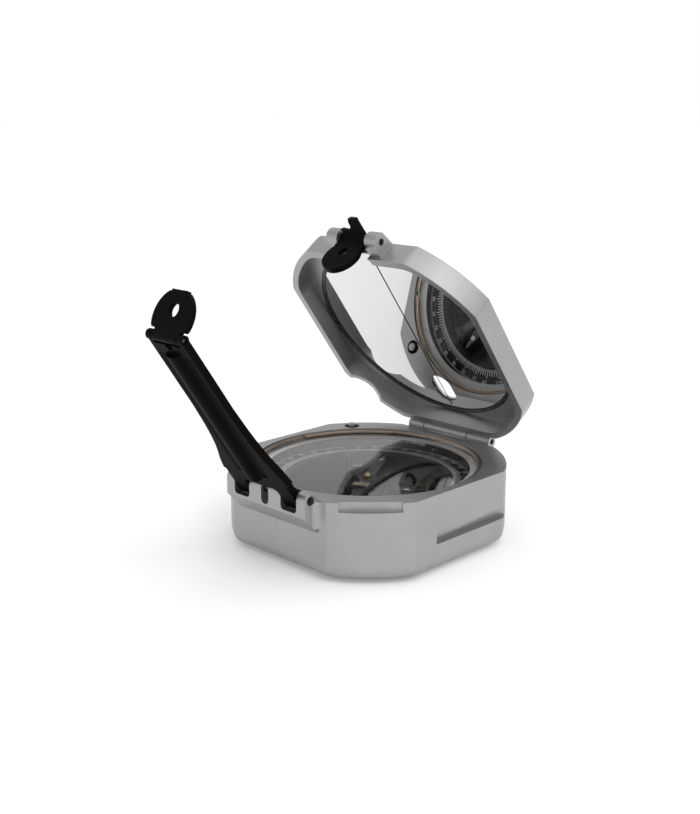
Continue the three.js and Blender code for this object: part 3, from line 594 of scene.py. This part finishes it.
MIRROR_HALF_THICK = 0.3 * MM
sighting_line = lid_box(
    "mirror_sighting_line",
    -0.15 * MM,
    0.15 * MM,
    6.8 * MM,
    67.2 * MM,
    MIRROR_HALF_THICK + 0.02 * MM,
    MIRROR_HALF_THICK + 0.10 * MM,
    BLACK_PAINT,
)
round_edges(sighting_line, 0.02 * MM)


# ---------------------------------------------------------------- needle's mark

NEEDLE_BEARING = 120.6  # degrees from +X at rest
NORTH_MARK_AT = 18.2 * MM
NORTH_MARK_HALF = 0.7 * MM
NORTH_LINE_TO = 22.2 * MM
NORTH_LINE_HALF = 0.07 * MM

def needle_mark():
    """White square near the needle's north end, and a line from it to the tip."""
    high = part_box("compass_needle")[1]
    bearing = math.radians(NEEDLE_BEARING)
    along = Vector((math.cos(bearing), math.sin(bearing), 0))
    across = Vector((-along.y, along.x, 0))
    made = bmesh.new()
    centre = along * NORTH_MARK_AT + Vector((0, 0, high.z + 0.05 * MM))
    made.faces.new(
        [
            made.verts.new(centre + (along * a + across * b) * NORTH_MARK_HALF)
            for a, b in ((-1, -1), (1, -1), (1, 1), (-1, 1))
        ]
    )
    tip = NORTH_LINE_TO - NORTH_MARK_AT
    made.faces.new(
        [
            made.verts.new(centre + along * a + across * b)
            for a, b in (
                (NORTH_MARK_HALF, -NORTH_LINE_HALF),
                (tip, -NORTH_LINE_HALF),
                (tip, NORTH_LINE_HALF),
                (NORTH_MARK_HALF, NORTH_LINE_HALF),
            )
        ]
    )
    mesh = bpy.data.meshes.new("needle_north_mark")
    made.to_mesh(mesh)
    made.free()
    thing = link("needle_north_mark", mesh, WHITE_PAINT)
    thicken = thing.modifiers.new("paint", "SOLIDIFY")
    thicken.thickness = 0.04 * MM
    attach(thing, "needle")


needle_mark()


# ---------------------------------------------------------------- light and floor

FLOOR_SIZE = 12.0
FLOOR_DROP = 0.2 * MM  # keeps the floor clear of the plate's underside
FLOOR_GLOW = 0.16  # lifts the floor to the white of the backdrop


def make_floor():
    mesh = bpy.data.meshes.new("floor")
    half = FLOOR_SIZE / 2
    mesh.from_pydata(
        [(-half, -half, 0), (half, -half, 0), (half, half, 0), (-half, half, 0)],
        [],
        [(0, 1, 2, 3)],
    )
    look = Look(
        "floor",
        Roughness=0.9,
        Emission_Color=(1, 1, 1, 1),
        Emission_Strength=FLOOR_GLOW,
    )
    cloud = look.noise(0.3)
    look.colour(look.mix(look.spread(cloud, 0.0, 1.0), grey(0.88), grey(0.9)))
    floor = link("floor", mesh, look.material)
    floor.location.z = -FLOOR_DROP


def area_light(name, place, aim, size, power):
    """A square softbox at place, facing aim."""
    data = bpy.data.lights.new(name, "AREA")
    data.shape = "SQUARE"
    data.size = size
    data.energy = power
    light = bpy.data.objects.new(name, data)
    bpy.context.scene.collection.objects.link(light)
    light.location = place
    light.rotation_mode = "QUATERNION"
    light.rotation_quaternion = (Vector(aim) - Vector(place)).to_track_quat("-Z", "Y")


def soft_sun(name, tilt, spread, strength):
    """A very wide light, like a ceiling of softboxes; tilt and spread in degrees."""
    data = bpy.data.lights.new(name, "SUN")
    data.angle = math.radians(spread)
    data.energy = strength
    light = bpy.data.objects.new(name, data)
    bpy.context.scene.collection.objects.link(light)
    light.rotation_euler = Euler([math.radians(a) for a in tilt])


HORIZON = 1.0
OVERHEAD = 0.45


def make_world():
    world = bpy.data.worlds.new("studio")
    world.use_nodes = True
    nodes = world.node_tree.nodes
    background = nodes["Background"]
    background.inputs["Color"].default_value = (1, 1, 1, 1)
    # white near the horizon and softer overhead
    place = nodes.new("ShaderNodeTexCoord")
    split = nodes.new("ShaderNodeSeparateXYZ")
    strength = nodes.new("ShaderNodeMapRange")
    strength.interpolation_type = "SMOOTHSTEP"
    strength.inputs["From Min"].default_value = 0.1
    strength.inputs["From Max"].default_value = 0.6
    strength.inputs["To Min"].default_value = HORIZON
    strength.inputs["To Max"].default_value = OVERHEAD
    links = world.node_tree.links
    links.new(place.outputs["Generated"], split.inputs["Vector"])
    links.new(split.outputs["Z"], strength.inputs["Value"])
    links.new(strength.outputs["Result"], background.inputs["Strength"])
    bpy.context.scene.world = world


make_floor()
make_world()
soft_sun("overhead", (-10, 6, 0), 100, 1.35)
area_light("key", (0.55, -0.15, 0.70), (0, 0, 0.05), 0.5, 1.6)
bpy.context.scene.view_settings.view_transform = "Standard"
